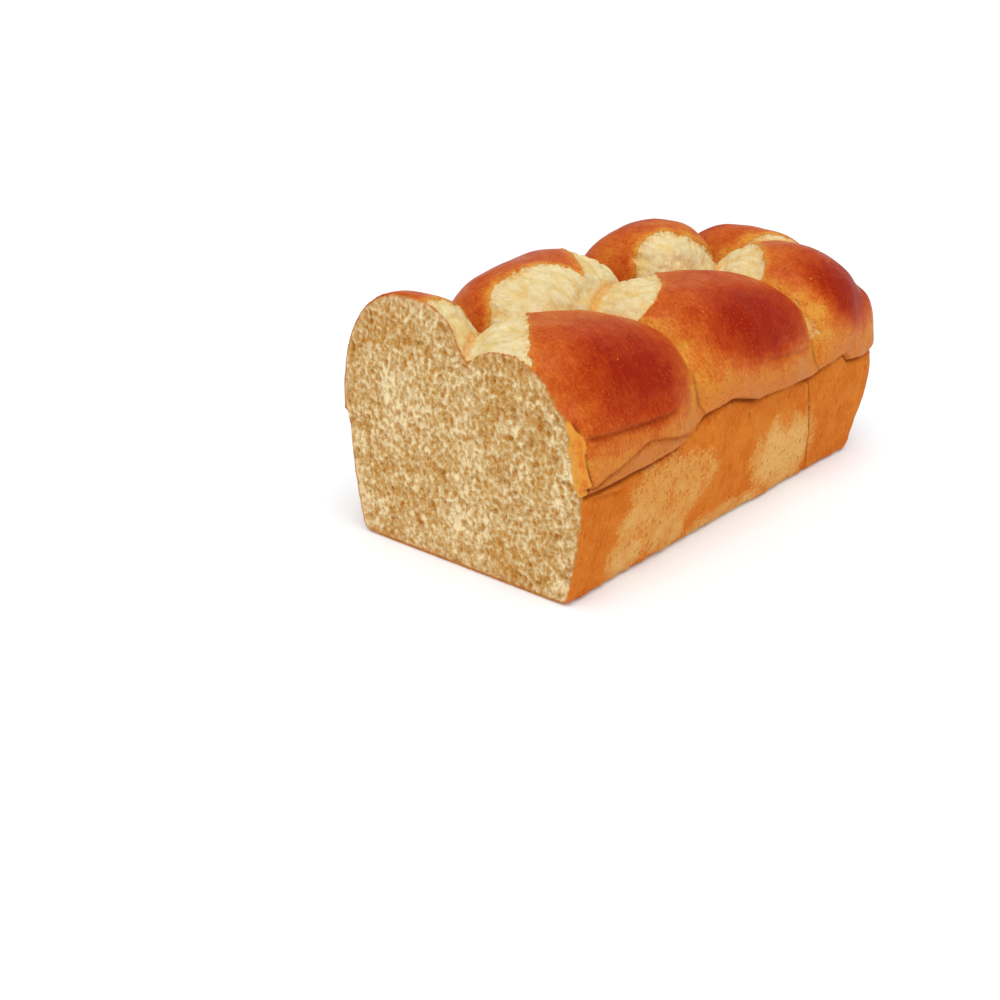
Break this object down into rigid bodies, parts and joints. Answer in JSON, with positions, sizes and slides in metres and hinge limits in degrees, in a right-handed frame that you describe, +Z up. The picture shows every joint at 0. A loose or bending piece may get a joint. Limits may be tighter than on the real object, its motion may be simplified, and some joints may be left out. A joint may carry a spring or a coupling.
{
  "type": "brioche loaf",
  "caption": "Plaited brioche loaf baked in a pan, with one end sliced off: drafted walls below, two rows of plaited lobes above, and a flat cut face.",
  "frame": {"origin": "middle of the loaf's own box, on the surface the flat base rests on", "axes": "+X along the loaf from the cut face to the heel, +Y to the back, +Z up"},
  "size_m": [0.212, 0.113, 0.0962],
  "materials": {
    "baked_crust": "egg-washed baked crust, glossy red-brown on the lobes, pale where the dough stretched, matte golden on the pan-side walls, open cream crumb on the cut face"
  },
  "bodies": {
    "root": {"brioche_loaf": "baked_crust"}
  },
  "joints": []
}
